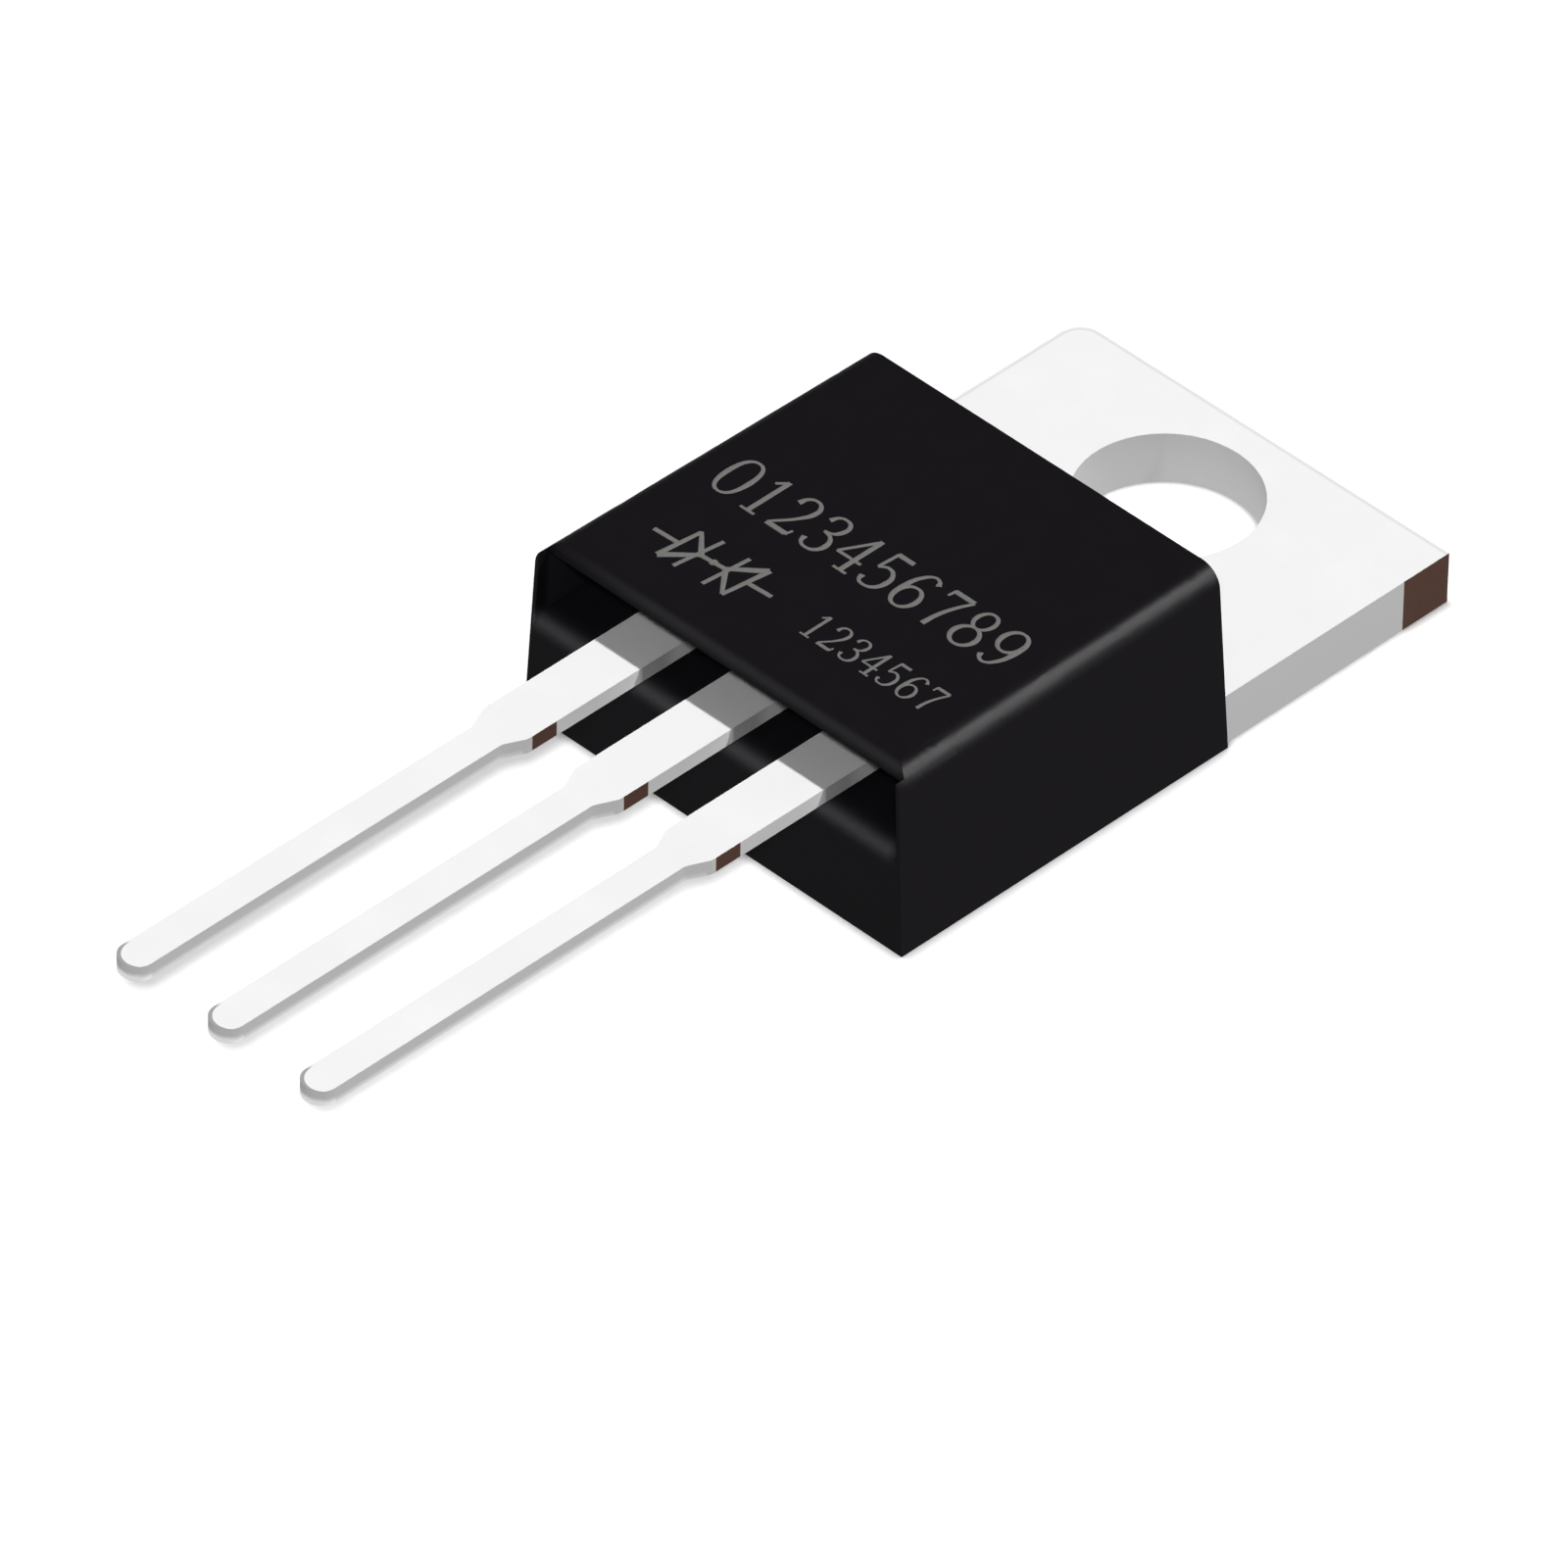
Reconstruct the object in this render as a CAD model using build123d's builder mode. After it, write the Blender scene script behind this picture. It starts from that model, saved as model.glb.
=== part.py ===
import os

from build123d import *

os.makedirs("parts", exist_ok=True)

# A dual diode in a three-lead package with a mounting tab, in millimetres.
# The origin is the centre of the mounting hole on the back face.
# +Z points out of the marked face, +Y to the free end of the tab and +X across the leads.

# The tab, which goes on under the moulding as the plate that carries the chips
tab_inset = 0.12  # the tab is this much narrower than the moulding's base on each side
tab_thickness = 1.25
tab_length = 6.4  # from the moulding to the free end
hole_diameter = 3.96
hole_to_end = 2.75
tab_corner_radius = 0.55  # only the far left corner is rounded
plate_inset = 1.18  # the plate is narrower than the tab on each side, measured on the back face
plate_lock = 0.4  # the plate's upper half is wider on each side, and the moulding grips under it
plate_lock_height = 0.6
plate_neck_radius = 0.4
plate_to_front = 3.1  # moulding in front of the plate

# The moulding
body_length = 9.15
body_height = 4.35
body_base_width = 10.5
top_front_inset = 0.24  # the top is narrower than the base on each side, at its front corners
top_back_inset = 0.38  # and at its back corners
front_draft = 0.05  # how far the front face leans back over its whole height
back_draft = 0.04
body_edge_radius = 0.5  # along the two long top edges

# The mouth at the lead end: a floor, a back wall and a thin lip above, closed by a cheek at each end
mouth_below_leads = 0.24
mouth_depth = 1.6
cheek = 0.1
lip_thickness = 0.26  # at its nose
lip_root = 0.8  # the lip is thicker where it joins the back wall
lip_setback = 0.27  # of the nose, behind the foot of the front face
lip_round = 0.3  # the top curves down to the nose over this depth
floor_lip_radius = 0.4
mouth_corner_radius = 0.2

# The leads
lead_pitch = 2.54
lead_thickness = 0.36
lead_to_top = 1.25  # the leads lie this far under the marked face
lead_width = 0.8
lead_length = 13.5  # from the moulding to the tip
shoulder_width = 1.27
shoulder_length = 3.2
shoulder_taper = 0.5
shoulder_radius = 0.3
tip_flat = 0.04  # the flat left between the two round corners of a tip

# The step of the centre lead down to the plate
step_flat = 0.4  # level run behind the mouth's back wall before the first bend
step_bend_radius = 0.4
step_overlap = 0.5  # how far the stepped strip runs on into the plate

# The bond posts at the inner ends of the two outer leads
post_width = 2.6
post_length = 1.7
post_shift = 0.25  # away from the centre lead
post_to_wall = 0.35
post_radius = 0.25

# The chips, their solder and their bond wires
die_width = 3.0
die_length = 3.2
die_thickness = 0.28
solder_thickness = 0.08
solder_margin = 0.1
wire_diameter = 0.38
wire_spacing = 1.0
wire_squash = 0.08  # how far a bonded end is pressed into a flat
wire_foot = 0.7
wire_height = 0.6  # the loop's peak above the posts
wire_reach = 0.3  # the loop's peak beyond the posts
wire_bend_radius = 0.55  # at the loop's peak, while a bonded end leaves its flat at a sharp heel

# Sizes and places that follow from these
tab_width = body_base_width - 2 * tab_inset
plate_width = tab_width - 2 * plate_inset
lock_width = plate_width + 2 * plate_lock
body_top_front_width = body_base_width - 2 * top_front_inset
body_top_back_width = body_base_width - 2 * top_back_inset
tip_radius = (lead_width - tip_flat) / 2
tab_end = hole_to_end
body_back = tab_end - tab_length
body_front = body_back - body_length
plate_front = body_front + plate_to_front
mouth_wall = body_front + mouth_depth
lead_tip = body_front - lead_length
lead_top = body_height - lead_to_top
lead_bottom = lead_top - lead_thickness
mouth_floor = lead_bottom - mouth_below_leads
post_start = mouth_wall + post_to_wall
post_end = post_start + post_length
die_middle = (plate_front + body_back) / 2
die_shift = lock_width / 4  # each chip is in the middle of its half of the plate
die_bottom = tab_thickness + solder_thickness
die_top = die_bottom + die_thickness

pick_margin = 0.01  # for finding corners by their place


# One lead seen from above, from its round tip to its inner end
def lead_outline(inner_end):
    narrow_end = body_front - shoulder_length - shoulder_taper
    shoulder_end = body_front - shoulder_length
    with BuildSketch() as outline:
        with BuildLine():
            half = Polyline(
                (0, lead_tip),
                (lead_width / 2, lead_tip),
                (lead_width / 2, narrow_end),
                (shoulder_width / 2, shoulder_end),
                (shoulder_width / 2, inner_end),
                (0, inner_end),
            )
            mirror(half, about=Plane.YZ)
        make_face()
        between = (narrow_end - pick_margin, shoulder_end + pick_margin)
        corners = outline.vertices().filter_by_position(Axis.Y, *between)
        fillet(corners, radius=shoulder_radius)
        tip_corners = outline.vertices().group_by(Axis.Y)[0].filter_by(lambda v: abs(v.X) > lead_width / 4)
        fillet(tip_corners, radius=tip_radius)
    return outline.sketch


# The tapered block of the moulding, narrower at the top and a little narrower towards the tab
def block_outline(front_width, back_width, front, back):
    with BuildSketch() as outline:
        with BuildLine():
            half = Polyline((0, front), (front_width / 2, front), (back_width / 2, back), (0, back))
            mirror(half, about=Plane.YZ)
        make_face()
    return outline.sketch


# The tab seen from above, with the plate that it becomes inside the moulding
def tab_outline(inner_width):
    with BuildSketch() as outline:
        with Locations((0, tab_end - tab_length / 2)):
            Rectangle(tab_width, tab_length)
        far_left = outline.vertices().group_by(Axis.Y)[-1].sort_by(Axis.X)[0]
        fillet(far_left, radius=tab_corner_radius)
        with Locations((0, (plate_front + body_back) / 2)):
            Rectangle(inner_width, body_back - plate_front)
        at_moulding = (body_back - pick_margin, body_back + pick_margin)
        necks = outline.vertices().filter_by_position(Axis.Y, *at_moulding)
        fillet(necks.filter_by(lambda v: abs(v.X) < tab_width / 2 - pick_margin), radius=plate_neck_radius)
        Circle(hole_diameter / 2, mode=Mode.SUBTRACT)
    return outline.sketch


# Tab, plate and centre lead, stamped as one piece of two gauges
with BuildPart() as tab_and_centre_lead:
    with BuildSketch():
        add(tab_outline(plate_width))
    extrude(amount=plate_lock_height)
    with BuildSketch(Plane.XY.offset(plate_lock_height)):
        add(tab_outline(lock_width))
    extrude(amount=tab_thickness - plate_lock_height)
    with BuildSketch(Plane.XY.offset(lead_bottom)):
        add(lead_outline(mouth_wall))
    extrude(amount=lead_thickness)
    step_top = lead_top - lead_thickness / 2
    step_foot = tab_thickness - lead_thickness / 2
    step_start = mouth_wall + step_flat
    with BuildLine() as step_path:
        FilletPolyline(
            (0, mouth_wall, step_top),
            (0, step_start, step_top),
            (0, plate_front, step_foot),
            (0, plate_front + step_overlap, step_foot),
            radius=step_bend_radius,
        )
    with BuildSketch(Plane(origin=(0, mouth_wall, step_top), x_dir=(1, 0, 0), z_dir=(0, 1, 0))):
        Rectangle(shoulder_width, lead_thickness)
    sweep(path=step_path.line)
tab_and_centre_lead.part.label = "tab_and_centre_lead"
export_step(tab_and_centre_lead.part, "parts/tab_and_centre_lead.step")

inner_pieces = [tab_and_centre_lead.part]

for side, sign in (("left", -1), ("right", 1)):
    # Outer lead, which widens into a bond post inside the moulding
    with BuildPart() as anode_lead:
        with BuildSketch(Plane.XY.offset(lead_bottom)):
            with Locations((sign * lead_pitch, 0)):
                add(lead_outline(post_end))
            with Locations((sign * (lead_pitch + post_shift), (post_start + post_end) / 2)):
                RectangleRounded(post_width, post_length, post_radius)
        extrude(amount=lead_thickness)
    anode_lead.part.label = f"anode_lead_{side}"
    export_step(anode_lead.part, f"parts/anode_lead_{side}.step")

    # Solder layer on the plate, a little wider than the chip
    with BuildPart() as solder:
        with BuildSketch(Plane.XY.offset(tab_thickness)):
            with Locations((sign * die_shift, die_middle)):
                Rectangle(die_width + 2 * solder_margin, die_length + 2 * solder_margin)
        extrude(amount=solder_thickness)
    solder.part.label = f"solder_{side}"
    export_step(solder.part, f"parts/solder_{side}.step")

    # Diode chip
    with BuildPart() as die:
        with BuildSketch(Plane.XY.offset(die_bottom)):
            with Locations((sign * die_shift, die_middle)):
                Rectangle(die_width, die_length)
        extrude(amount=die_thickness)
    die.part.label = f"die_{side}"
    export_step(die.part, f"parts/die_{side}.step")

    inner_pieces += [anode_lead.part, solder.part, die.part]

    # Bond wires, each pressed flat on the post and on the chip
    for place, outward in (("inner", -1), ("outer", 1)):
        wire_x = sign * (lead_pitch + outward * wire_spacing / 2)
        post_level = lead_top + wire_diameter / 2 - wire_squash
        die_level = die_top + wire_diameter / 2 - wire_squash
        on_post = (post_start + post_end) / 2
        with BuildPart() as wire:
            with BuildLine() as wire_path:
                FilletPolyline(
                    (wire_x, on_post - wire_foot / 2, post_level),
                    (wire_x, on_post + wire_foot / 2, post_level),
                    (wire_x, post_end + wire_reach, lead_top + wire_height),
                    (wire_x, die_middle - wire_foot / 2, die_level),
                    (wire_x, die_middle + wire_foot / 2, die_level),
                    radius=[0, wire_bend_radius, 0],
                )
            with BuildSketch(Plane(origin=wire_path.line @ 0, x_dir=(1, 0, 0), z_dir=(0, 1, 0))):
                Circle(wire_diameter / 2)
            sweep(path=wire_path.line, transition=Transition.RIGHT)
            foot_ends = ((on_post, lead_top), (die_middle, die_top))
            for middle, level in foot_ends:
                with BuildSketch(Plane.XY.offset(level - wire_diameter)):
                    with Locations((wire_x, middle)):
                        Rectangle(2 * wire_diameter, 2 * wire_foot)
                extrude(amount=wire_diameter, mode=Mode.SUBTRACT)
        wire.part.label = f"wire_{side}_{place}"
        export_step(wire.part, f"parts/wire_{side}_{place}.step")
        inner_pieces.append(wire.part)


# Half the width of the front face at a height
def front_half_width(height):
    return (body_base_width - (body_base_width - body_top_front_width) * height / body_height) / 2


# The space of the mouth: its side view, cut to length by the two cheeks
with BuildPart() as mouth:
    outside = body_front - mouth_depth
    above = body_height + mouth_depth
    nose = body_front + lip_setback
    with BuildSketch(Plane.YZ):
        with BuildLine():
            Line((outside, mouth_floor - floor_lip_radius), (body_front, mouth_floor - floor_lip_radius))
            TangentArc(
                (body_front, mouth_floor - floor_lip_radius),
                (body_front + floor_lip_radius, mouth_floor),
                tangent=(0, 1),
            )
            Polyline(
                (body_front + floor_lip_radius, mouth_floor),
                (mouth_wall, mouth_floor),
                (mouth_wall, body_height - lip_root),
                (nose, body_height - lip_thickness),
            )
            TangentArc(
                (nose + lip_round, body_height),
                (nose, body_height - lip_thickness),
                tangent=(-1, 0),
            )
            Polyline(
                (nose + lip_round, body_height),
                (nose + lip_round, above),
                (outside, above),
                (outside, mouth_floor - floor_lip_radius),
            )
        make_face()
    extrude(amount=body_base_width, both=True)
    with BuildSketch(Plane.XZ.offset(-mouth_wall)):
        with BuildLine():
            half = Polyline(
                (0, 0),
                (front_half_width(0) - cheek, 0),
                (front_half_width(above) - cheek, above),
                (0, above),
            )
            mirror(half, about=Plane.YZ)
        make_face()
    extrude(amount=2 * mouth_depth, mode=Mode.INTERSECT)
    at_wall = (mouth_wall - pick_margin, mouth_wall + pick_margin)
    fillet(mouth.edges().filter_by_position(Axis.Y, *at_wall), radius=mouth_corner_radius)

# The moulding, which fills all the space around the inner pieces
with BuildPart() as moulded_body:
    with BuildSketch():
        add(block_outline(body_base_width, body_base_width, body_front, body_back))
    with BuildSketch(Plane.XY.offset(body_height)):
        top_outline = block_outline(
            body_top_front_width, body_top_back_width, body_front + front_draft, body_back - back_draft
        )
        add(top_outline)
    loft()
    top_edges = moulded_body.faces().sort_by(Axis.Z)[-1].edges()
    fillet([top_edges.sort_by(Axis.X)[0], top_edges.sort_by(Axis.X)[-1]], radius=body_edge_radius)
    add(mouth.part, mode=Mode.SUBTRACT)
    for piece in inner_pieces:
        add(piece, mode=Mode.SUBTRACT)
moulded_body.part.label = "moulded_body"
export_step(moulded_body.part, "parts/moulded_body.step")
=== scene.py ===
import bpy
import math
from mathutils import Matrix, Vector


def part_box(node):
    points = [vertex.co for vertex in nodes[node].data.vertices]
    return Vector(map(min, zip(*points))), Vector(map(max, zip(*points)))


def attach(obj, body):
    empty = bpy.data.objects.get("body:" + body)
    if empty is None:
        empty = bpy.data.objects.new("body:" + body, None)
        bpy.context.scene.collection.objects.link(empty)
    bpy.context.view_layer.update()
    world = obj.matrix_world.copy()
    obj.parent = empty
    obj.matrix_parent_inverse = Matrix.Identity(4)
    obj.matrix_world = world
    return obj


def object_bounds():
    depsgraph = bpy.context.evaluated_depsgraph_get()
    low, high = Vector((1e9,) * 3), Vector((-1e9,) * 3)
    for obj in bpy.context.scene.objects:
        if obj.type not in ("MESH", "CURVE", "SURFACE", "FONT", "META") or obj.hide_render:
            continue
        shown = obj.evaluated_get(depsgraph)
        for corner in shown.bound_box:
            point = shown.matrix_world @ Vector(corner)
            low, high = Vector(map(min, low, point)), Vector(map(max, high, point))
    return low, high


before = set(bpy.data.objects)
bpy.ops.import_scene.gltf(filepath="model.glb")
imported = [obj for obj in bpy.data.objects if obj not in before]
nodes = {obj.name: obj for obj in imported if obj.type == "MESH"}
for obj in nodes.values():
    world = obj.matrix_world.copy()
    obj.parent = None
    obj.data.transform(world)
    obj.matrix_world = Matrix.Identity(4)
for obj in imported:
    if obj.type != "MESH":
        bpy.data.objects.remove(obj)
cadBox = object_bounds()
mm = 0.001
print("frame loaded:", len(nodes), "nodes")

# Places taken from the frame
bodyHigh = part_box("moulded_body")[1]
leadLow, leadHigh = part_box("anode_lead_left")
tabLow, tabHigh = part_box("tab_and_centre_lead")
topLevel = bodyHigh.z

# The leads stand at the standard pitch of such a package
leadPitch = 2.54 * mm

# Most of a noise lies between these
noiseLow, noiseHigh = 0.3, 0.7


# Small helpers for materials

def newMaterial(name):
    material = bpy.data.materials.new(name)
    material.use_nodes = True
    tree = material.node_tree
    tree.nodes.clear()
    output = tree.nodes.new("ShaderNodeOutputMaterial")
    shader = tree.nodes.new("ShaderNodeBsdfPrincipled")
    tree.links.new(shader.outputs["BSDF"], output.inputs["Surface"])
    return material, tree, shader


def put(tree, kind, **values):
    node = tree.nodes.new(kind)
    for name, value in values.items():
        setattr(node, name, value)
    return node


def mathNode(tree, operation, *inputs, clamp=False):
    node = put(tree, "ShaderNodeMath", operation=operation, use_clamp=clamp)
    for socket, value in zip(node.inputs, inputs):
        if isinstance(value, (int, float)):
            socket.default_value = value
        else:
            tree.links.new(value, socket)
    return node.outputs[0]


def product(tree, *parts):
    result = parts[0]
    for part in parts[1:]:
        result = mathNode(tree, "MULTIPLY", result, part)
    return result


def rise(tree, value, start, length):
    # 0 up to the start, 1 past the length
    return mathNode(tree, "DIVIDE", mathNode(tree, "SUBTRACT", value, start), length, clamp=True)


def shares(tree, first, second, share):
    # two textures in one, the first by its share and the second by the rest
    return mathNode(tree, "ADD", product(tree, first, share), product(tree, second, 1.0 - share))


def lengthOf(tree, first, second):
    squares = mathNode(tree, "ADD", product(tree, first, first), product(tree, second, second))
    return mathNode(tree, "SQRT", squares)


def axesOf(tree, vector):
    split = put(tree, "ShaderNodeSeparateXYZ")
    tree.links.new(vector, split.inputs["Vector"])
    return split.outputs


def noise(tree, coordinates, scale, detail=2.0, roughness=0.5):
    node = put(tree, "ShaderNodeTexNoise")
    node.inputs["Scale"].default_value = scale
    node.inputs["Detail"].default_value = detail
    node.inputs["Roughness"].default_value = roughness
    tree.links.new(coordinates, node.inputs["Vector"])
    return node.outputs["Fac"]


def spread(tree, value, low, high):
    # a noise is stretched to run from low to high
    node = put(tree, "ShaderNodeMapRange")
    tree.links.new(value, node.inputs["Value"])
    node.inputs["From Min"].default_value = noiseLow
    node.inputs["From Max"].default_value = noiseHigh
    node.inputs["To Min"].default_value = low
    node.inputs["To Max"].default_value = high
    return node.outputs["Result"]


def mixColour(tree, factor, first, second):
    node = put(tree, "ShaderNodeMix", data_type="RGBA")
    tree.links.new(factor, node.inputs["Factor"])
    for socket, value in ((node.inputs[6], first), (node.inputs[7], second)):
        if isinstance(value, tuple):
            socket.default_value = (*value, 1.0)
        else:
            tree.links.new(value, socket)
    return node.outputs[2]


def bumpFrom(tree, shader, height, distance, strength):
    node = put(tree, "ShaderNodeBump")
    node.inputs["Strength"].default_value = strength
    node.inputs["Distance"].default_value = distance
    tree.links.new(height, node.inputs["Height"])
    tree.links.new(node.outputs["Normal"], shader.inputs["Normal"])


def dress(nodeNames, material):
    for nodeName in nodeNames:
        slots = nodes[nodeName].material_slots
        if not slots:
            nodes[nodeName].data.materials.append(material)
        for slot in slots:
            slot.material = material


# Black moulding compound

mouldingLook = {
    "dark": (0.0083, 0.0072, 0.0090),
    "light": (0.0095, 0.0082, 0.0102),
    "roughLow": 0.42,
    "roughHigh": 0.52,
    "specular": 0.018,
    "mottleSize": 0.6 * mm,
    "mottleShare": 0.5,
    "grainSize": 0.03 * mm,
    "grainDepth": 0.002 * mm,
    "grainStrength": 0.25,
    "polishRough": 0.45,
    "polishStart": 0.72,
    "edgePolish": 0.64,
    "edgeSharpness": 4.0,
    "edgeFront": -12.75 * mm,
    "edgeFade": 0.3 * mm,
    "lipPolish": 0.38,
    "lipSharpness": 3.0,
    "betweenLips": 3.3 * mm,
    "lipEnd": 5.02 * mm,
    "lipFade": 0.3 * mm,
    "lipStart": -5.0 * mm,
    "lipRise": 3.0 * mm,
    # a lighter colour painted along the lower lip, a painted highlight, and where its band lies
    "wearAndPaintedSheen": (0.092, 0.087, 0.094),
    "paintedSheenSlope": (0.46, 0.765),
    "paintedSheenMiddle": -4.03 * mm,
    "paintedSheenWidth": 0.147 * mm,
    "paintedSheenFront": -12.2 * mm,
    # inside the recess under the lip the colour is painted lighter, painted light that lifts the shade there
    "mouthPaintedLight": (0.020, 0.018, 0.022),
    "mouthFront": -12.55 * mm,
    "mouthFloor": 2.45 * mm,
    "mouthTop": 4.0 * mm,
    "mouthSoftness": 0.15 * mm,
    "mouthWall": -11.1 * mm,
    "cheekSide": 5.2 * mm,
    "sideSlope": 0.0552,
}


def makeMoulding():
    look = mouldingLook
    material, tree, shader = newMaterial("mouldingCompound")
    texture = put(tree, "ShaderNodeTexCoord")
    place = texture.outputs["Object"]
    across, along, height = axesOf(tree, place)

    def polish(facing, amount, sharpness):
        # rounded edges are rubbed smooth where they face between two sides
        towards = put(tree, "ShaderNodeVectorMath", operation="DOT_PRODUCT")
        tree.links.new(texture.outputs["Normal"], towards.inputs[0])
        towards.inputs[1].default_value = facing
        part = rise(tree, towards.outputs["Value"], look["polishStart"], 1.0 - look["polishStart"])
        return product(tree, mathNode(tree, "POWER", part, sharpness), amount)

    half = math.sqrt(0.5)
    edgeAmount = product(tree, rise(tree, along, look["edgeFront"], look["edgeFade"]), look["edgePolish"])
    longEdge = polish((half, 0.0, half), edgeAmount, look["edgeSharpness"])
    beforeEnd = rise(tree, mathNode(tree, "SUBTRACT", look["lipEnd"], across), 0.0, look["lipFade"])
    pastStart = rise(tree, across, look["lipStart"], look["lipRise"])
    onTopLip = mathNode(tree, "GREATER_THAN", height, look["betweenLips"])
    lipAmount = product(tree, onTopLip, pastStart, beforeEnd, look["lipPolish"])
    topLip = polish((0.0, -half, half), lipAmount, look["lipSharpness"])
    tree.links.new(mathNode(tree, "MAXIMUM", longEdge, topLip), shader.inputs["Coat Weight"])
    shader.inputs["Coat Roughness"].default_value = look["polishRough"]

    # a painted highlight lies along the lower lip's round: a lighter colour in a band across the lip's slope
    slopeAlong, slopeUp = look["paintedSheenSlope"]
    slope = mathNode(tree, "MULTIPLY_ADD", along, slopeAlong, product(tree, height, slopeUp))
    offset = mathNode(tree, "SUBTRACT", slope, look["paintedSheenMiddle"])
    offset = mathNode(tree, "DIVIDE", offset, look["paintedSheenWidth"])
    bell = mathNode(tree, "EXPONENT", product(tree, offset, offset, -1.0))
    sideReach = mathNode(tree, "MULTIPLY_ADD", height, look["sideSlope"], mathNode(tree, "ABSOLUTE", across))
    betweenCheeks = mathNode(tree, "LESS_THAN", sideReach, look["cheekSide"])
    nearFront = mathNode(tree, "LESS_THAN", along, look["paintedSheenFront"])
    wearAndPaintedSheen = product(tree, bell, betweenCheeks, beforeEnd, nearFront)

    # inside the recess under the lip the colour is painted lighter: painted light that lifts the shade there
    inMouth = product(
        tree,
        betweenCheeks,
        rise(tree, along, look["mouthFront"], look["mouthSoftness"]),
        mathNode(tree, "LESS_THAN", along, look["mouthWall"]),
        rise(tree, height, look["mouthFloor"], look["mouthSoftness"]),
        mathNode(tree, "SUBTRACT", 1.0, rise(tree, height, look["mouthTop"], look["mouthSoftness"])),
    )
    mottle = noise(tree, place, 1 / look["mottleSize"], detail=4.0)
    grain = noise(tree, place, 1 / look["grainSize"], detail=3.0, roughness=0.6)
    both = shares(tree, mottle, grain, look["mottleShare"])
    outside = mixColour(tree, spread(tree, both, 0.0, 1.0), look["dark"], look["light"])
    beforePaintedSheen = mixColour(tree, inMouth, outside, look["mouthPaintedLight"])
    tree.links.new(mixColour(tree, wearAndPaintedSheen, beforePaintedSheen, look["wearAndPaintedSheen"]), shader.inputs["Base Color"])
    tree.links.new(spread(tree, both, look["roughLow"], look["roughHigh"]), shader.inputs["Roughness"])
    shader.inputs["Specular IOR Level"].default_value = look["specular"]
    bumpFrom(tree, shader, grain, look["grainDepth"], look["grainStrength"])
    return material


# Tin plating, with the bare copper where the bars between the strips were cut off

tinLook = {
    "dull": (0.90, 0.90, 0.90),
    "bright": (0.93, 0.93, 0.93),
    "metallic": 0.05,
    "roughLow": 0.45,
    "roughHigh": 0.6,
    "specular": 0.06,
    "grainSize": 0.05 * mm,
    "grainShare": 0.4,
    "grainDepth": 0.0015 * mm,
    "grainStrength": 0.2,
    "cloudSize": 1.2 * mm,
    "facingLimit": 0.5,
    "edgeSoftness": 0.008 * mm,
    "copperDark": (0.087, 0.042, 0.029),
    "copperLight": (0.105, 0.053, 0.038),
    "leadCutBack": -15.22 * mm,
    "leadCutFront": -15.895 * mm,
    "leadCutSide": 0.634 * mm,
    "tabCutBack": 2.8 * mm,
    "tabCutFront": 1.45 * mm,
    "tabCutSide": 5.128 * mm,
    "shearedFrom": 0.7,
    # greys of the sheared sides along the part, with painted shade inside the recess under the lip and
    # painted light just outside it and on the shoulders
    "shearedGreysWithPaintedLight": (
        (-16.0 * mm, 0.67),
        (-15.2 * mm, 0.71),
        (-14.2 * mm, 0.73),
        (-13.6 * mm, 0.79),
        (-13.1 * mm, 0.88),
        (-13.0 * mm, 0.97),
        (-12.93 * mm, 0.97),
        (-12.85 * mm, 0.48),
        (-12.3 * mm, 0.50),
        (-11.9 * mm, 0.78),
        (-11.0 * mm, 0.92),
        (-3.6 * mm, 0.675),
    ),
    "band": (0.95, 0.95, 0.95),
    "bandDrop": 0.23 * mm,
    "bandFade": 0.1 * mm,
    "bandEnd": -16.1 * mm,
    "tipRadius": 0.4 * mm,
    "tipDrop": 0.17 * mm,
    "tipFade": 0.1 * mm,
    "tipShine": 0.6,
    # darker rim of painted shade along each tip's left
    "paintedTipRimShade": (0.38, 0.38, 0.38),
    "tipRimShift": 0.057 * mm,
    "tipRimFade": 0.15 * mm,
    # painted shade in a fine line along the tab's end and left side
    "paintedEdgeShade": (0.77, 0.77, 0.77),
    "rimOuter": 0.01 * mm,
    "rimInner": 0.11 * mm,
    "rimSoftness": 0.04 * mm,
    "tabCorner": 0.55 * mm,
    "holeRadius": 1.985 * mm,
    "holeShine": 0.17,
    "holeTurn": 0.17,
}


def greyAlong(tree, along, greys):
    # the grey at a place along the part, from pairs of a place and its grey
    first, last = greys[0][0], greys[-1][0]
    positions = [(start - first) / (last - first) for start, grey in greys]
    ramp = put(tree, "ShaderNodeValToRGB")
    tree.links.new(rise(tree, along, first, last - first), ramp.inputs[0])
    stops = ramp.color_ramp.elements
    for position in positions[1:-1]:
        stops.new(position)
    for stop, (start, grey) in zip(stops, greys):
        stop.color = (grey, grey, grey, 1.0)
    return ramp.outputs[0]


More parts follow.
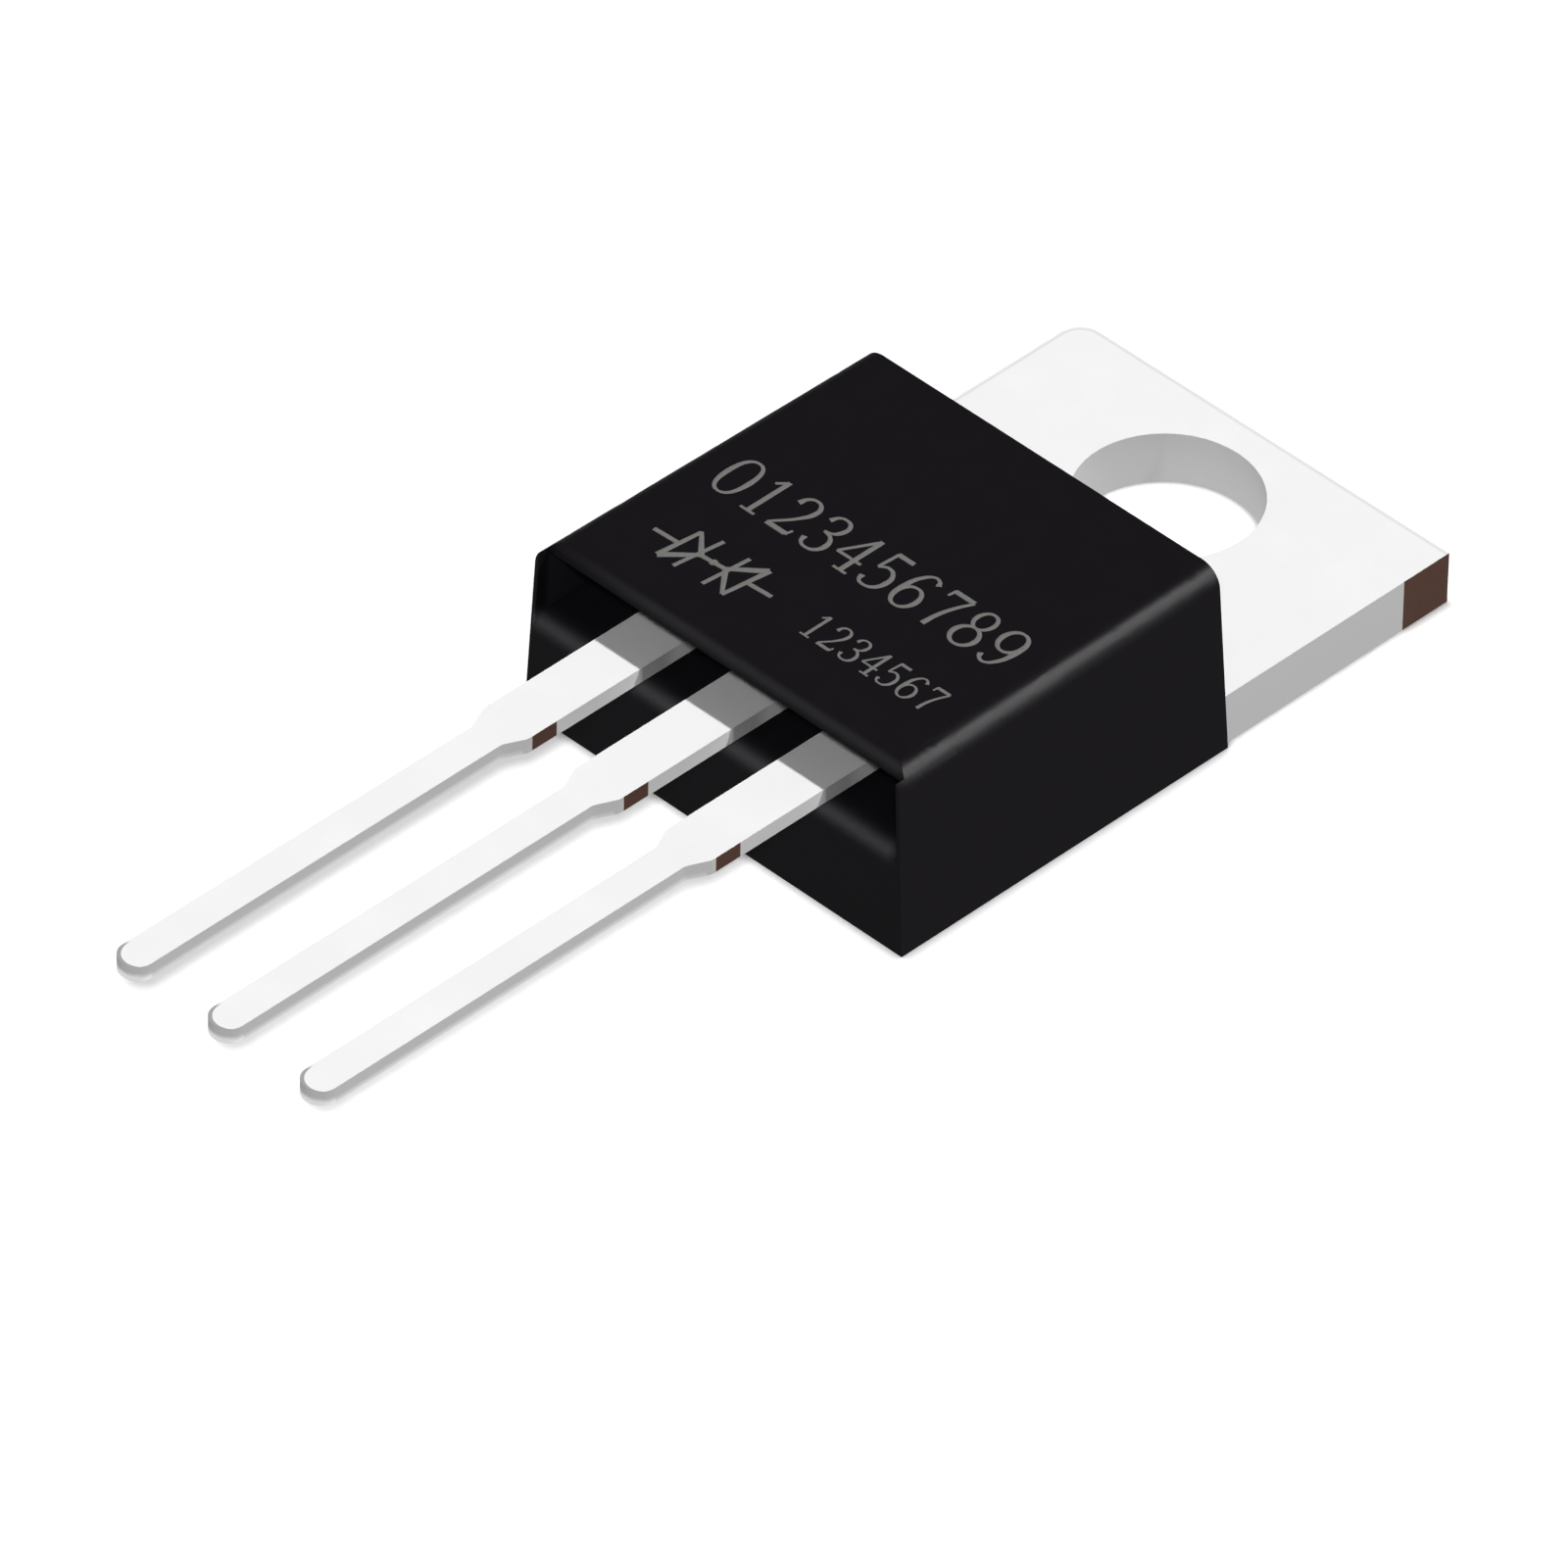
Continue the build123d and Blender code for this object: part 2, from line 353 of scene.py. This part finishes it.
def makeTin():
    look = tinLook
    material, tree, shader = newMaterial("tinPlate")
    texture = put(tree, "ShaderNodeTexCoord")
    place = texture.outputs["Object"]
    across, along, height = axesOf(tree, place)
    normal = axesOf(tree, texture.outputs["Normal"])
    facingUp = mathNode(tree, "GREATER_THAN", normal["Z"], look["facingLimit"])
    upright = mathNode(tree, "LESS_THAN", mathNode(tree, "ABSOLUTE", normal["Z"]), look["facingLimit"])
    fromLead = mathNode(tree, "WRAP", across, leadPitch / 2, -leadPitch / 2)
    underTop = mathNode(tree, "SUBTRACT", leadHigh.z, height)
    tipMiddle = leadLow.y + look["tipRadius"]

    def between(value, low, high, soft=look["edgeSoftness"]):
        # 1 inside a range of places, falling to 0 over the softness at each end
        middle, half = (low + high) / 2, (high - low) / 2
        distance = mathNode(tree, "ABSOLUTE", mathNode(tree, "SUBTRACT", value, middle))
        return mathNode(tree, "DIVIDE", mathNode(tree, "SUBTRACT", half, distance), soft, clamp=True)

    def beyond(value, limit):
        return mathNode(tree, "GREATER_THAN", mathNode(tree, "ABSOLUTE", value), limit)

    def past(value, limit):
        return mathNode(tree, "MAXIMUM", mathNode(tree, "SUBTRACT", value, limit), 0.0)

    onLeadCut = between(along, look["leadCutFront"], look["leadCutBack"])
    onTabCut = between(along, look["tabCutFront"], look["tabCutBack"])
    leadCut = product(tree, onLeadCut, beyond(fromLead, look["leadCutSide"]))
    tabCut = product(tree, onTabCut, beyond(across, look["tabCutSide"]))
    cut = mathNode(tree, "MAXIMUM", leadCut, tabCut)

    grain = noise(tree, place, 1 / look["grainSize"], detail=3.0, roughness=0.6)
    cloud = noise(tree, place, 1 / look["cloudSize"], detail=3.0)
    both = shares(tree, grain, cloud, look["grainShare"])
    tin = mixColour(tree, spread(tree, both, 0.0, 1.0), look["dull"], look["bright"])
    copper = mixColour(tree, spread(tree, grain, 0.0, 1.0), look["copperDark"], look["copperLight"])

    # the sheared sides are duller than the faces; along each lead their grey also carries painted shade
    # inside the recess under the lip and painted light just outside it and on the shoulders, with a brighter
    # band low on the sides of the leads
    sideways = mathNode(tree, "ABSOLUTE", normal["X"])
    sideways = rise(tree, sideways, look["shearedFrom"], 1.0 - look["shearedFrom"])
    onShaft = mathNode(tree, "LESS_THAN", along, look["bandEnd"])
    onBand = product(tree, rise(tree, underTop, look["bandDrop"], look["bandFade"]), onShaft)
    shearedAndPaintedSides = mixColour(tree, onBand, greyAlong(tree, along, look["shearedGreysWithPaintedLight"]), look["band"])
    plated = mixColour(tree, sideways, tin, shearedAndPaintedSides)

    # painted shade on each tip's left stands for a rolled-over edge: a darker rim on the top face where the
    # tip lies outside its own outline shifted right and back
    sideReach = mathNode(tree, "SUBTRACT", fromLead, look["tipRimShift"])
    endReach = mathNode(tree, "SUBTRACT", along, tipMiddle + look["tipRimShift"])
    tipReach = lengthOf(tree, sideReach, mathNode(tree, "MINIMUM", endReach, 0.0))
    outside = rise(tree, tipReach, look["tipRadius"], look["edgeSoftness"])
    towardsTip = mathNode(tree, "SUBTRACT", tipMiddle, along)
    nearTip = rise(tree, towardsTip, -look["tipRimFade"], look["tipRimFade"])
    plated = mixColour(tree, product(tree, outside, nearTip, facingUp), plated, look["paintedTipRimShade"])

    # a fine darker line of painted shade follows the tab's end, its round corner and its left side
    corner = look["tabCorner"]
    outLeft = past(product(tree, across, -1.0), -tabLow.x - corner)
    outEnd = past(along, tabHigh.y - corner)
    rimStart, rimEnd = corner - look["rimInner"], corner - look["rimOuter"]
    onRim = between(lengthOf(tree, outLeft, outEnd), rimStart, rimEnd, look["rimSoftness"])
    plated = mixColour(tree, product(tree, onRim, facingUp), plated, look["paintedEdgeShade"])
    tree.links.new(mixColour(tree, cut, plated, copper), shader.inputs["Base Color"])
    tree.links.new(spread(tree, both, look["roughLow"], look["roughHigh"]), shader.inputs["Roughness"])

    # the drilled wall of the hole is shinier, the more so the less it faces to the side
    inHole = mathNode(tree, "LESS_THAN", lengthOf(tree, across, along), look["holeRadius"])
    holeShine = mathNode(tree, "MULTIPLY_ADD", normal["X"], -look["holeTurn"], look["holeShine"])
    holeShine = product(tree, inHole, mathNode(tree, "MAXIMUM", holeShine, 0.0))
    # and so is the low part of each tip
    atTip = mathNode(tree, "LESS_THAN", along, tipMiddle)
    lowOnTip = rise(tree, underTop, look["tipDrop"], look["tipFade"])
    tipShine = product(tree, lowOnTip, atTip, upright, look["tipShine"])
    shine = mathNode(tree, "ADD", mathNode(tree, "ADD", holeShine, tipShine), look["metallic"])
    tree.links.new(shine, shader.inputs["Metallic"])
    shader.inputs["Specular IOR Level"].default_value = look["specular"]
    bumpFrom(tree, shader, grain, look["grainDepth"], look["grainStrength"])
    return material


# Finishes of the pieces inside: chips, solder and bond wires

insideLooks = {
    "silicon": {
        "dark": (0.05, 0.06, 0.075),
        "light": (0.09, 0.10, 0.12),
        "metallic": 0.4,
        "roughLow": 0.25,
        "roughHigh": 0.4,
        "grainSize": 0.08 * mm,
    },
    "solder": {
        "dark": (0.35, 0.35, 0.37),
        "light": (0.55, 0.55, 0.57),
        "metallic": 0.9,
        "roughLow": 0.45,
        "roughHigh": 0.6,
        "grainSize": 0.12 * mm,
    },
    "bondWire": {
        "dark": (0.62, 0.63, 0.65),
        "light": (0.8, 0.81, 0.83),
        "metallic": 1.0,
        "roughLow": 0.3,
        "roughHigh": 0.45,
        "grainSize": 0.05 * mm,
    },
}
insideGrain = {"depth": 0.002 * mm, "strength": 0.2}


def makeInside(name):
    look = insideLooks[name]
    material, tree, shader = newMaterial(name)
    place = put(tree, "ShaderNodeTexCoord").outputs["Object"]
    grain = noise(tree, place, 1 / look["grainSize"], detail=4.0)
    colour = mixColour(tree, spread(tree, grain, 0.0, 1.0), look["dark"], look["light"])
    tree.links.new(colour, shader.inputs["Base Color"])
    tree.links.new(spread(tree, grain, look["roughLow"], look["roughHigh"]), shader.inputs["Roughness"])
    shader.inputs["Metallic"].default_value = look["metallic"]
    bumpFrom(tree, shader, grain, insideGrain["depth"], insideGrain["strength"])
    return material


dress(["moulded_body"], makeMoulding())
dress(["tab_and_centre_lead", "anode_lead_left", "anode_lead_right"], makeTin())
dress(["die_left", "die_right"], makeInside("silicon"))
dress(["solder_left", "solder_right"], makeInside("solder"))
dress([name for name in nodes if name.startswith("wire_")], makeInside("bondWire"))
print("finishes on all nodes")

# Markings on the top face: plain digits and the symbol of two diodes with a common cathode

markLook = {
    "colour": (0.196, 0.196, 0.186),
    # the darker colour of the worn ink
    "wearAndPaintedSheen": (0.150, 0.150, 0.143),
    "roughLow": 0.6,
    "roughHigh": 0.8,
    "specular": 0.1,
    "speckle": 0.05 * mm,
    "speckleDepth": 0.002 * mm,
    "speckleStrength": 0.3,
    "flatness": 0.1,
    "roundSteps": 2,
    "curveSteps": 8,
}
longLine = {
    "text": "0123456789",
    "left": -4.05 * mm,
    "base": -9.09 * mm,
    "height": 1.28 * mm,
    "pitch": 0.815 * mm,
    "stroke": 0.108 * mm,
}
shortLine = {
    "text": "1234567",
    "left": 0.40 * mm,
    "base": -10.99 * mm,
    "height": 0.81 * mm,
    "pitch": 0.52 * mm,
    "stroke": 0.071 * mm,
}
symbolLook = {
    "stroke": 0.12 * mm,
    "dot": (-2.17 * mm, -10.67 * mm),
    "dotHalf": 0.05 * mm,
    "dotPen": 1.6,
}

# Strokes of each digit in parts of its height: x, y and how broad the pen is there
straight, curved, closed = "straight", "curved", "closed"
digitWidth = 0.54
digitStrokes = {
    "0": [(closed, (0.27, 0.96, 0.7), (0.04, 0.50, 1.3), (0.27, 0.04, 0.7), (0.50, 0.50, 1.3))],
    "1": [(straight, (0.13, 0.80, 0.7), (0.29, 0.95, 0.9)),
          (straight, (0.29, 0.97, 1.2), (0.29, 0.03, 1.2)),
          (straight, (0.14, 0.03, 0.7), (0.44, 0.03, 0.7))],
    "2": [(curved, (0.08, 0.73, 1.4), (0.13, 0.89, 0.9), (0.27, 0.955, 0.7), (0.42, 0.87, 1.0),
           (0.45, 0.69, 1.3), (0.35, 0.45, 0.9), (0.06, 0.07, 0.7)),
          (straight, (0.05, 0.05, 1.3), (0.46, 0.05, 1.3)),
          (straight, (0.46, 0.03, 0.8), (0.50, 0.18, 0.6))],
    "3": [(curved, (0.08, 0.77, 1.3), (0.14, 0.91, 0.8), (0.27, 0.955, 0.7), (0.41, 0.88, 1.0),
           (0.42, 0.67, 1.2), (0.33, 0.56, 0.8), (0.20, 0.53, 0.7)),
          (curved, (0.20, 0.53, 0.7), (0.38, 0.47, 0.9), (0.47, 0.27, 1.3), (0.40, 0.09, 1.0),
           (0.26, 0.04, 0.7), (0.12, 0.09, 0.8), (0.07, 0.22, 1.3))],
    "4": [(straight, (0.37, 0.96, 0.8), (0.03, 0.35, 0.8)),
          (straight, (0.02, 0.345, 0.8), (0.53, 0.345, 0.8)),
          (straight, (0.38, 0.98, 1.2), (0.38, 0.03, 1.2)),
          (straight, (0.24, 0.03, 0.7), (0.52, 0.03, 0.7))],
    "5": [(straight, (0.12, 0.94, 1.2), (0.46, 0.94, 1.2)),
          (straight, (0.13, 0.95, 0.8), (0.10, 0.52, 0.8)),
          (curved, (0.10, 0.52, 0.7), (0.26, 0.60, 0.8), (0.42, 0.51, 1.0), (0.47, 0.30, 1.3),
           (0.39, 0.10, 1.0), (0.24, 0.04, 0.7), (0.11, 0.08, 0.8), (0.07, 0.20, 1.3))],
    "6": [(curved, (0.45, 0.83, 1.3), (0.38, 0.93, 0.8), (0.27, 0.95, 0.7), (0.13, 0.80, 1.0),
           (0.06, 0.50, 1.3), (0.06, 0.30, 1.3)),
          (closed, (0.27, 0.57, 0.7), (0.06, 0.30, 1.3), (0.27, 0.04, 0.7), (0.48, 0.30, 1.3))],
    "7": [(straight, (0.06, 0.79, 0.6), (0.08, 0.95, 0.8)),
          (straight, (0.07, 0.94, 1.2), (0.49, 0.94, 1.2)),
          (curved, (0.49, 0.94, 0.8), (0.35, 0.63, 0.9), (0.27, 0.34, 1.1), (0.24, 0.03, 1.3))],
    "8": [(closed, (0.27, 0.96, 0.7), (0.10, 0.75, 1.1), (0.27, 0.53, 0.7), (0.44, 0.75, 1.1)),
          (closed, (0.27, 0.53, 0.7), (0.05, 0.28, 1.3), (0.27, 0.04, 0.7), (0.49, 0.28, 1.3))],
}

# Strokes of the symbol in millimetres on the top face
symbolStrokes = [
    (straight, (-3.73, -10.77, 1.0), (-3.06, -10.74, 1.0)),
    (straight, (-3.00, -10.18, 0.9), (-3.13, -11.29, 1.2)),
    (straight, (-3.01, -10.17, 0.8), (-2.50, -10.69, 1.2)),
    (straight, (-3.12, -11.29, 1.5), (-2.50, -10.68, 1.1)),
    (straight, (-2.48, -10.07, 0.9), (-2.66, -11.31, 0.9)),
    (straight, (-2.55, -10.70, 1.0), (-1.80, -10.64, 1.0)),
    (straight, (-1.75, -10.08, 0.9), (-1.87, -11.29, 0.9)),
    (straight, (-1.86, -10.63, 1.1), (-1.21, -10.07, 1.5)),
    (straight, (-1.87, -10.64, 1.2), (-1.37, -11.24, 0.8)),
    (straight, (-1.21, -10.06, 1.2), (-1.37, -11.25, 0.9)),
    (straight, (-1.30, -10.64, 1.0), (-0.63, -10.60, 1.0)),
]


def placed(strokes, left, base, scale):
    # the same strokes with their points scaled and moved
    return [
        (kind, *((left + x * scale, base + y * scale, pen) for x, y, pen in points))
        for kind, *points in strokes
    ]


def turned(strokes):
    # the same strokes turned upside down about the middle of a digit
    return [
        (kind, *((digitWidth - x, 1.0 - y, pen) for x, y, pen in points))
        for kind, *points in strokes
    ]


digitStrokes["9"] = turned(digitStrokes["6"])


def makeMark():
    look = markLook
    material, tree, shader = newMaterial("markingInk")
    place = put(tree, "ShaderNodeTexCoord").outputs["Object"]
    speckle = noise(tree, place, 1 / look["speckle"], detail=4.0, roughness=0.6)
    colour = mixColour(tree, spread(tree, speckle, 0.0, 1.0), look["wearAndPaintedSheen"], look["colour"])
    tree.links.new(colour, shader.inputs["Base Color"])
    tree.links.new(spread(tree, speckle, look["roughLow"], look["roughHigh"]), shader.inputs["Roughness"])
    shader.inputs["Specular IOR Level"].default_value = look["specular"]
    bumpFrom(tree, shader, speckle, look["speckleDepth"], look["speckleStrength"])
    return material


def deselectAll():
    if bpy.context.object and bpy.context.object.mode != "OBJECT":
        bpy.ops.object.mode_set(mode="OBJECT")
    bpy.ops.object.select_all(action="DESELECT")


def penPiece(name, strokes, penWidth, material):
    # each stroke is a pen line, drawn as a round bar and pressed nearly flat on the top face
    deselectAll()
    bpy.ops.curve.primitive_bezier_curve_add(location=(0, 0, 0))
    piece = bpy.context.object
    piece.name = name
    lines = piece.data
    lines.splines.clear()
    lines.bevel_depth = penWidth / 2
    lines.bevel_resolution = markLook["roundSteps"]
    lines.resolution_u = markLook["curveSteps"]
    lines.use_fill_caps = True
    for kind, *points in strokes:
        line = lines.splines.new("BEZIER")
        line.bezier_points.add(len(points) - 1)
        line.use_cyclic_u = kind == closed
        for knot, (x, y, pen) in zip(line.bezier_points, points):
            knot.co = (x, y, 0.0)
            knot.radius = pen
            knot.handle_left_type = knot.handle_right_type = "VECTOR" if kind == straight else "AUTO"
    bpy.ops.object.convert(target="MESH")
    piece = bpy.context.object
    pressed = Matrix.Diagonal((1, 1, markLook["flatness"], 1))
    piece.data.transform(Matrix.Translation((0, 0, topLevel)) @ pressed)
    piece.data.materials.clear()
    piece.data.materials.append(material)
    bpy.ops.object.shade_smooth()
    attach(piece, "root")
    return piece


def printedLine(name, look, material):
    strokes = []
    for count, digit in enumerate(look["text"]):
        left = look["left"] + count * look["pitch"]
        strokes += placed(digitStrokes[digit], left, look["base"], look["height"])
    return penPiece(name, strokes, look["stroke"], material)


def printedSymbol(name, look, material):
    # a short broad stroke is the dot between the two diodes
    dotX, dotY = look["dot"]
    dotStart = (dotX - look["dotHalf"], dotY, look["dotPen"])
    dotEnd = (dotX + look["dotHalf"], dotY, look["dotPen"])
    strokes = placed(symbolStrokes, 0.0, 0.0, mm) + [(straight, dotStart, dotEnd)]
    return penPiece(name, strokes, look["stroke"], material)


markMaterial = makeMark()
printedLine("printed_digits", longLine, markMaterial)
printedLine("printed_short_digits", shortLine, markMaterial)
printedSymbol("printed_symbol", symbolLook, markMaterial)
print("markings on the top face")

# Floor, which shows white to the camera and gives a pale, even glow to all other light

floorLook = {
    "size": 20.0,
    "glow": 0.31,
    "shown": 0.40,
    "shaded": 2.6,
    "contactReach": 0.25 * mm,
    "contactMargin": 0.5 * mm,
    "contactSamples": 8,
    "shadeByMoulding": 1.05,
    "shadeByTab": 1.35,
}


def makeFloor():
    # the plane stands to one side, so that its diagonal is out of view
    look = floorLook
    deselectAll()
    bpy.ops.mesh.primitive_plane_add(size=look["size"], location=(look["size"] / 4, 0, 0))
    floor = bpy.context.object
    floor.name = "floor"
    material = bpy.data.materials.new("paleFloor")
    material.use_nodes = True
    tree = material.node_tree
    tree.nodes.clear()
    output = put(tree, "ShaderNodeOutputMaterial")
    path = put(tree, "ShaderNodeLightPath")
    fromFloor, along, height = axesOf(tree, put(tree, "ShaderNodeTexCoord").outputs["Object"])

    # the floor is darker where the part stands close over it
    contact = put(tree, "ShaderNodeAmbientOcclusion", samples=look["contactSamples"])
    contact.inputs["Distance"].default_value = look["contactReach"]
    byTab = mathNode(tree, "GREATER_THAN", along, bodyHigh.y)
    moreByTab = look["shadeByTab"] - look["shadeByMoulding"]
    shade = mathNode(tree, "MULTIPLY_ADD", byTab, moreByTab, look["shadeByMoulding"])
    hidden = mathNode(tree, "SUBTRACT", 1.0, contact.outputs["AO"])
    openness = mathNode(tree, "SUBTRACT", 1.0, product(tree, hidden, shade), clamp=True)

    def seenFloor(light):
        shown = put(tree, "ShaderNodeEmission")
        tree.links.new(mathNode(tree, "MULTIPLY", light, look["shown"]), shown.inputs["Strength"])
        shaded = put(tree, "ShaderNodeBsdfDiffuse")
        tree.links.new(mathNode(tree, "MULTIPLY", light, look["shaded"]), shaded.inputs["Color"])
        both = put(tree, "ShaderNodeAddShader")
        tree.links.new(shown.outputs[0], both.inputs[0])
        tree.links.new(shaded.outputs[0], both.inputs[1])
        return both.outputs[0]

    # the contact shade is only worked out close to the part, to keep the render quick
    lowEnd = cadBox[0][1] - look["contactMargin"]
    highEnd = cadBox[1][1] + look["contactMargin"]
    fromMiddle = mathNode(tree, "ABSOLUTE", mathNode(tree, "SUBTRACT", along, (lowEnd + highEnd) / 2))
    across = mathNode(tree, "ABSOLUTE", mathNode(tree, "ADD", fromFloor, floor.location.x))
    nearPart = product(
        tree,
        mathNode(tree, "LESS_THAN", across, bodyHigh.x + look["contactMargin"]),
        mathNode(tree, "LESS_THAN", fromMiddle, (highEnd - lowEnd) / 2),
    )
    seen = put(tree, "ShaderNodeMixShader")
    tree.links.new(nearPart, seen.inputs[0])
    tree.links.new(seenFloor(1.0), seen.inputs[1])
    tree.links.new(seenFloor(openness), seen.inputs[2])

    # gloss mirrors a white floor, and all other light meets the glow
    mirrored = mathNode(tree, "MAXIMUM", path.outputs["Is Glossy Ray"], path.outputs["Is Transmission Ray"])
    strength = mathNode(tree, "MULTIPLY_ADD", mirrored, 1.0 - look["glow"], look["glow"])
    glow = put(tree, "ShaderNodeEmission")
    tree.links.new(strength, glow.inputs["Strength"])
    choose = put(tree, "ShaderNodeMixShader")
    tree.links.new(path.outputs["Is Camera Ray"], choose.inputs[0])
    tree.links.new(glow.outputs[0], choose.inputs[1])
    tree.links.new(seen.outputs[0], choose.inputs[2])
    tree.links.new(choose.outputs[0], output.inputs["Surface"])
    floor.data.materials.append(material)
    return floor


floor = makeFloor()

# Light: a weak sky, a high key lamp, a fill lamp near the camera and two cards that only shine in the gloss

skyLook = {"colour": (1.0, 1.0, 1.0, 1.0), "strength": 0.08}
suns = {
    "keyLamp": {"from": (0.34, 0.36, 0.869), "share": 0.874, "angle": 3.0, "onFloor": False},
    "fillLamp": {"from": (0.512, -0.525, 0.68), "share": 0.28, "angle": 4.0, "onFloor": True},
}
cards = {
    "rightCard": {"from": (0.645, 0.546, 0.535), "distance": 0.5, "size": 0.3, "radiance": 4.4},
    "frontCard": {"from": (-0.535, -0.645, 0.546), "distance": 0.5, "size": 0.9, "radiance": 0.8},
}


def aim(thing, towards):
    thing.rotation_euler = Vector(towards).to_track_quat("Z", "Y").to_euler()


def keepOff(lamp, thing):
    # the lamp lights everything but this thing
    leftOut = bpy.data.collections.new(lamp.name + "LeavesOut")
    leftOut.objects.link(thing)
    leftOut.collection_objects[0].light_linking.link_state = "EXCLUDE"
    lamp.light_linking.receiver_collection = leftOut


def makeSky(look):
    world = bpy.data.worlds.new("sky")
    bpy.context.scene.world = world
    world.use_nodes = True
    background = world.node_tree.nodes["Background"]
    background.inputs["Color"].default_value = look["colour"]
    background.inputs["Strength"].default_value = look["strength"]


def makeSun(name, look):
    deselectAll()
    bpy.ops.object.light_add(type="SUN", location=Vector(look["from"]))
    sun = bpy.context.object
    sun.name = name
    sun.data.energy = math.pi * look["share"]
    sun.data.angle = math.radians(look["angle"])
    aim(sun, look["from"])
    if not look["onFloor"]:
        keepOff(sun, floor)


def makeCard(name, look):
    deselectAll()
    bpy.ops.object.light_add(type="AREA", location=Vector(look["from"]) * look["distance"])
    card = bpy.context.object
    card.name = name
    card.data.shape = "DISK"
    card.data.size = look["size"]
    card.data.energy = look["radiance"] * math.pi * math.pi * (look["size"] / 2) ** 2
    card.visible_diffuse = False
    aim(card, look["from"])


makeSky(skyLook)
for name, look in suns.items():
    makeSun(name, look)
for name, look in cards.items():
    makeCard(name, look)
print("floor and light")

# Camera, placed as the photograph was seen

cameraLook = {
    "eye": (210.340 * mm, -226.378 * mm, 253.856 * mm),
    "forward": (-0.53404, 0.54735, -0.64437),
    "roll": 1.122,
    "lens": 459.53,
    "sensor": 36.0,
    "nearest": 0.01,
    "farthest": 100.0,
}


def makeCamera():
    look = cameraLook
    deselectAll()
    bpy.ops.object.camera_add(location=look["eye"])
    camera = bpy.context.object
    camera.name = "camera"
    level = Vector(look["forward"]).to_track_quat("-Z", "Y").to_matrix()
    camera.rotation_euler = (level @ Matrix.Rotation(math.radians(look["roll"]), 3, "Z")).to_euler()
    camera.data.lens = look["lens"]
    camera.data.sensor_width = look["sensor"]
    camera.data.sensor_fit = "HORIZONTAL"
    camera.data.clip_start = look["nearest"]
    camera.data.clip_end = look["farthest"]
    bpy.context.scene.camera = camera


makeCamera()
bpy.context.scene.view_settings.view_transform = "Standard"
